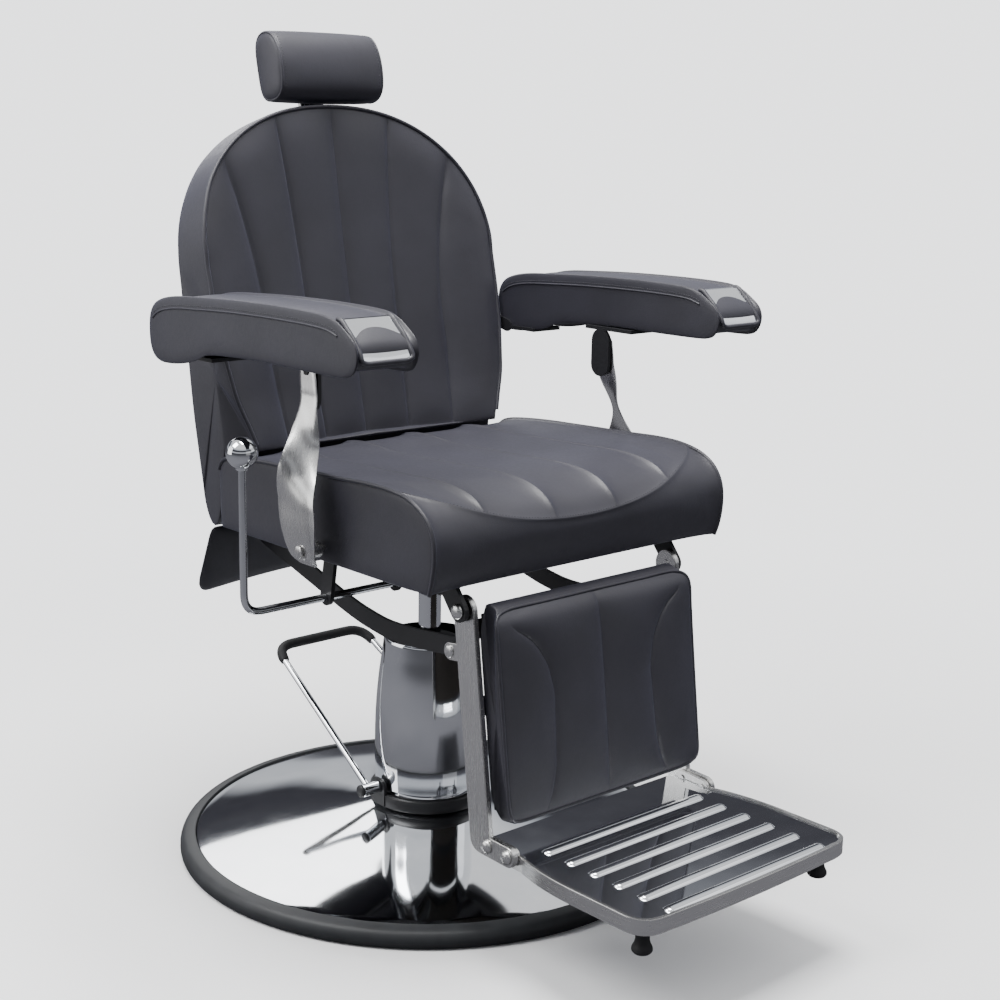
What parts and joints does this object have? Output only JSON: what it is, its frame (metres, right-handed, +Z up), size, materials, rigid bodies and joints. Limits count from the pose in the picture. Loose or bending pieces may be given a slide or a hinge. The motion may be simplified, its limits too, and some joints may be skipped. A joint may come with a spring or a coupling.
{
  "type": "hydraulic barber chair",
  "caption": "Hydraulic barber chair: round base with foot pump, reclining padded back linked to level arm rests and a swinging leg rest with foot plate, and a sliding headrest.",
  "frame": {"origin": "on the floor at the centre of the round base, under the column's axis", "axes": "+Z up; the chair faces -Y; its own right side, with the recline lever, is on -X"},
  "size_m": [0.714, 0.9598, 1.1291],
  "materials": {
    "upholstery": "semi-matt black imitation leather",
    "chrome_plate": "polished",
    "stainless_steel": "fine brushed",
    "black_steel": "satin powder coat",
    "cast_iron": "as cast, painted",
    "rim_rubber": "moulded",
    "black_rubber": "moulded",
    "plywood": "raw"
  },
  "bodies": {
    "base": {"base_ring": "rim_rubber", "base_dome": "chrome_plate", "base_plate": "cast_iron", "pump_cylinder": "cast_iron", "pump_gland": "black_steel", "column_cover": "chrome_plate", "column_collar": "chrome_plate", "pedal_bracket": "black_steel"},
    "pedal": {"pedal_lever": "chrome_plate", "pedal_grip": "black_rubber"},
    "lift": {"piston_rod": "chrome_plate"},
    "seat": {"seat_cushion": "upholstery", "seat_board": "plywood", "seat_frame": "black_steel", "swivel_plate": "black_steel", "legrest_bolt_right": "stainless_steel", "legrest_bolt_left": "stainless_steel", "back_bolt_right": "stainless_steel", "back_bolt_left": "stainless_steel", "strap_pin_right": "stainless_steel", "strap_pin_left": "stainless_steel", "lock_cylinder": "black_steel"},
    "recline_lever": {"recline_lever": "chrome_plate", "recline_knob": "chrome_plate"},
    "back": {"back_cushion": "upholstery", "back_panel": "upholstery", "back_crank": "black_steel", "tail_panel": "upholstery", "headrest_socket": "black_steel", "arm_stud_right": "stainless_steel", "arm_stud_left": "stainless_steel"},
    "headrest": {"headrest_pad": "upholstery", "headrest_post": "stainless_steel"},
    "arm_right": {"arm_pad_right": "upholstery", "arm_cap_right": "chrome_plate", "arm_tab_right": "black_steel", "arm_hinge_right": "black_steel"},
    "arm_left": {"arm_pad_left": "upholstery", "arm_cap_left": "chrome_plate", "arm_tab_left": "black_steel", "arm_hinge_left": "black_steel"},
    "strap_right": {"arm_strap_right": "stainless_steel"},
    "strap_left": {"arm_strap_left": "stainless_steel"},
    "link_right": {"link_bar_right": "black_steel"},
    "link_left": {"link_bar_left": "black_steel"},
    "legrest": {"legrest_rail_right": "stainless_steel", "legrest_rail_left": "stainless_steel", "legrest_pad": "upholstery", "legrest_board": "plywood", "legrest_crossbar_upper": "black_steel", "legrest_crossbar_lower": "black_steel", "footrest_frame": "stainless_steel", "footrest_plate": "chrome_plate", "footrest_stop_right": "black_rubber", "footrest_stop_left": "black_rubber", "footrest_bolt_right_1": "stainless_steel", "footrest_bolt_right_2": "stainless_steel", "footrest_bolt_left_1": "stainless_steel", "footrest_bolt_left_2": "stainless_steel"},
    "lock_rod": {"lock_rod": "chrome_plate"}
  },
  "joints": [
    {"name": "height", "type": "slide", "parent": "base", "child": "lift", "axis": [0, 0, 1], "range_m": [0, 0.15]},
    {"name": "swivel", "type": "hinge", "parent": "lift", "child": "seat", "pos_m": [0, 0, 0.4], "axis": [0, 0, 1], "continuous": true},
    {"name": "pump", "type": "hinge", "parent": "base", "child": "pedal", "pos_m": [0, 0.01, 0.096], "axis": [-1, 0, 0], "range_deg": [0, 18], "stiffness_Nm_per_rad": 14, "springref_deg": -25.78},
    {"name": "recline_release", "type": "hinge", "parent": "seat", "child": "recline_lever", "pos_m": [0, -0.05, 0.41], "axis": [-1, 0, 0], "range_deg": [0, 20], "stiffness_Nm_per_rad": 8, "springref_deg": -17.19},
    {"name": "recline", "type": "hinge", "parent": "seat", "child": "back", "pos_m": [0, 0.143, 0.499], "axis": [-1, 0, 0], "range_deg": [0, 42]},
    {"name": "headrest_height", "type": "slide", "parent": "back", "child": "headrest", "axis": [0, 0.2385, 0.9711], "range_m": [0, 0.07]},
    {"name": "leg_swing", "type": "hinge", "parent": "seat", "child": "legrest", "pos_m": [0, -0.282, 0.44], "axis": [-1, 0, 0], "range_deg": [-0.5, 42.5]},
    {"name": "lock_travel", "type": "slide", "parent": "seat", "child": "lock_rod", "axis": [0, -1, 0], "range_m": [-0.001, 0.047]},
    {"name": "arm_tilt_right", "type": "hinge", "parent": "back", "child": "arm_right", "pos_m": [0, 0.164, 0.72], "axis": [-1, 0, 0], "range_deg": [-42.5, 0.5]},
    {"name": "strap_swing_right", "type": "hinge", "parent": "seat", "child": "strap_right", "pos_m": [0, -0.092, 0.49], "axis": [-1, 0, 0], "range_deg": [-0.5, 42.5]},
    {"name": "link_swing_right", "type": "hinge", "parent": "back", "child": "link_right", "pos_m": [0, 0.168, 0.441], "axis": [-1, 0, 0], "range_deg": [-42.5, 0.5]},
    {"name": "arm_tilt_left", "type": "hinge", "parent": "back", "child": "arm_left", "pos_m": [0, 0.164, 0.72], "axis": [-1, 0, 0], "range_deg": [-42.5, 0.5]},
    {"name": "strap_swing_left", "type": "hinge", "parent": "seat", "child": "strap_left", "pos_m": [0, -0.092, 0.49], "axis": [-1, 0, 0], "range_deg": [-0.5, 42.5]},
    {"name": "link_swing_left", "type": "hinge", "parent": "back", "child": "link_left", "pos_m": [0, 0.168, 0.441], "axis": [-1, 0, 0], "range_deg": [-42.5, 0.5]}
  ],
  "couplings": [
    {"joint": "leg_swing", "follows": "recline", "ratio": 1},
    {"joint": "lock_travel", "follows": "recline", "m_per_rad": 0.0617},
    {"joint": "arm_tilt_right", "follows": "recline", "ratio": -1},
    {"joint": "strap_swing_right", "follows": "recline", "ratio": 1},
    {"joint": "link_swing_right", "follows": "recline", "ratio": -1},
    {"joint": "arm_tilt_left", "follows": "recline", "ratio": -1},
    {"joint": "strap_swing_left", "follows": "recline", "ratio": 1},
    {"joint": "link_swing_left", "follows": "recline", "ratio": -1}
  ]
}
